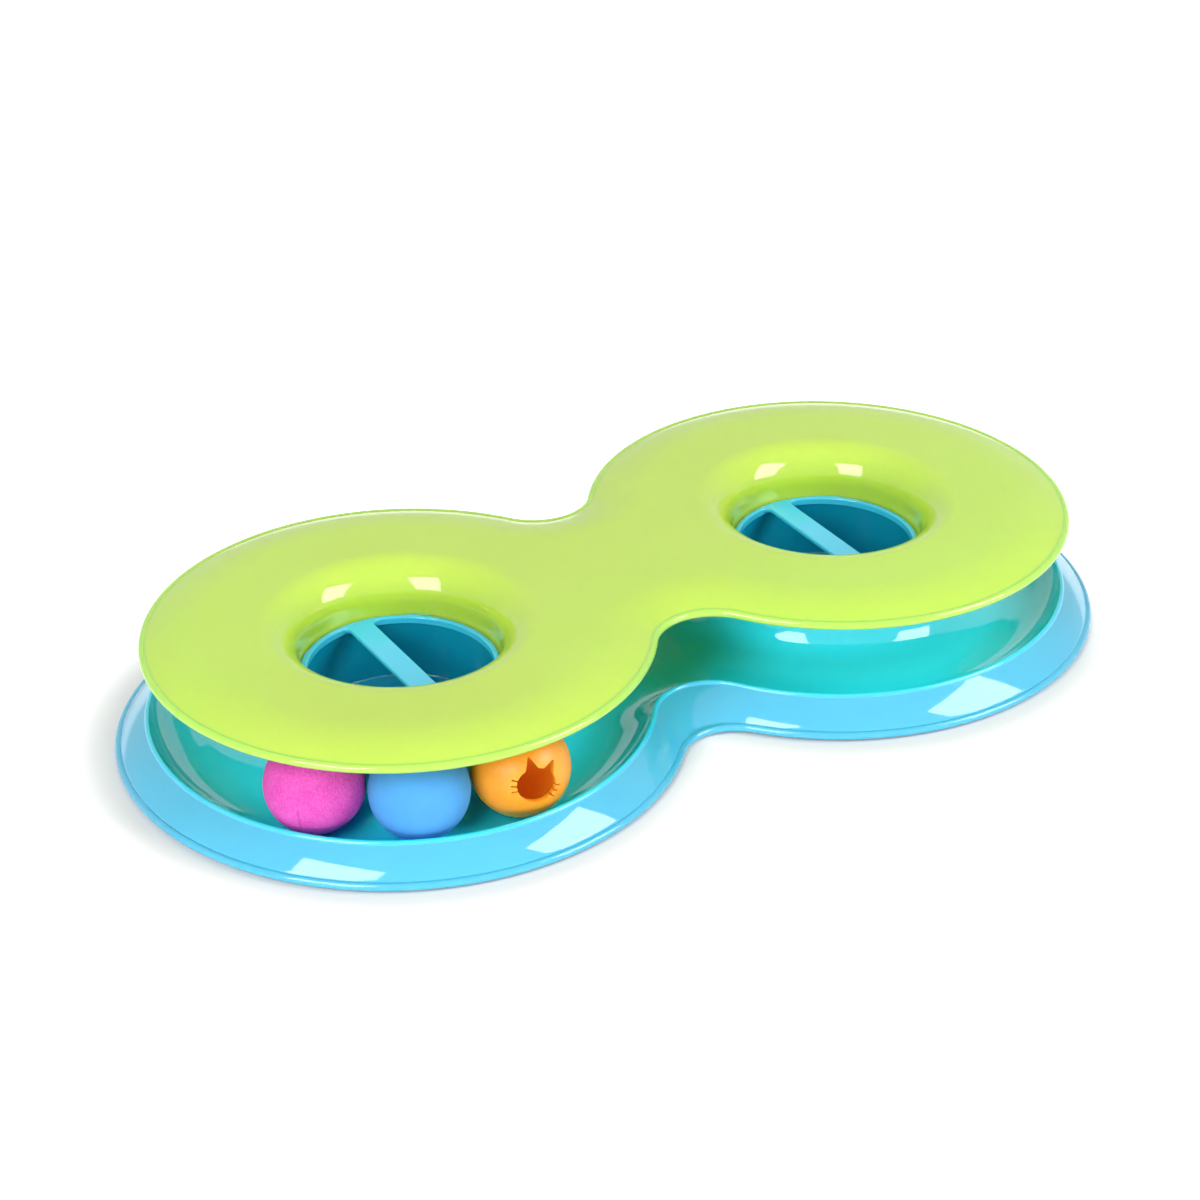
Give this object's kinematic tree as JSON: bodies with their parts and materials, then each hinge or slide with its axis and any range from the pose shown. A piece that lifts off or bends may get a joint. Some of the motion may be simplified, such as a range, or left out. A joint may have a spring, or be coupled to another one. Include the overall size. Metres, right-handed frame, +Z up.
{
  "type": "cat ball track toy",
  "caption": "Figure-eight ball track toy for cats: an open-sided channel tray under a lift-off cover with funnel wells, with foam balls and a hollow treat ball rolling inside.",
  "frame": {"origin": "on the floor under the waist, midway between the two rings", "axes": "+X along the two rings, +Y across them to the back, +Z up"},
  "size_m": [0.446, 0.236, 0.053],
  "materials": {
    "tray": "gloss",
    "cover": "gloss",
    "pink_foam": "matte foam",
    "blue_foam": "matte foam",
    "treat_shell": "satin",
    "foot": "matte"
  },
  "bodies": {
    "tray": {"track_base": "tray", "hub_ring_left": "tray", "hub_ring_right": "tray", "foot_1": "foot", "foot_2": "foot", "foot_3": "foot", "foot_4": "foot", "foot_5": "foot", "foot_6": "foot", "foot_7": "foot", "foot_8": "foot"},
    "cover": {"top_cover": "cover"},
    "blue_roller": {"blue_ball": "blue_foam"},
    "pink_roller": {"pink_ball": "pink_foam"},
    "treat_roller": {"treat_ball_front": "treat_shell", "treat_ball_back": "treat_shell"}
  },
  "joints": [
    {"name": "cover_lift", "type": "slide", "parent": "tray", "child": "cover", "axis": [0, 0, 1], "range_m": [0, 0.08]},
    {"name": "blue_orbit", "type": "hinge", "parent": "tray", "child": "blue_roller", "pos_m": [-0.105, 0, 0.0237], "axis": [0, 0, 1], "continuous": true},
    {"name": "pink_orbit", "type": "hinge", "parent": "blue_roller", "child": "pink_roller", "pos_m": [-0.105, 0, 0.0237], "axis": [0, 0, 1], "range_deg": [-136, 0]},
    {"name": "treat_orbit", "type": "hinge", "parent": "blue_roller", "child": "treat_roller", "pos_m": [-0.105, 0, 0.0237], "axis": [0, 0, 1], "range_deg": [0, 136]}
  ]
}
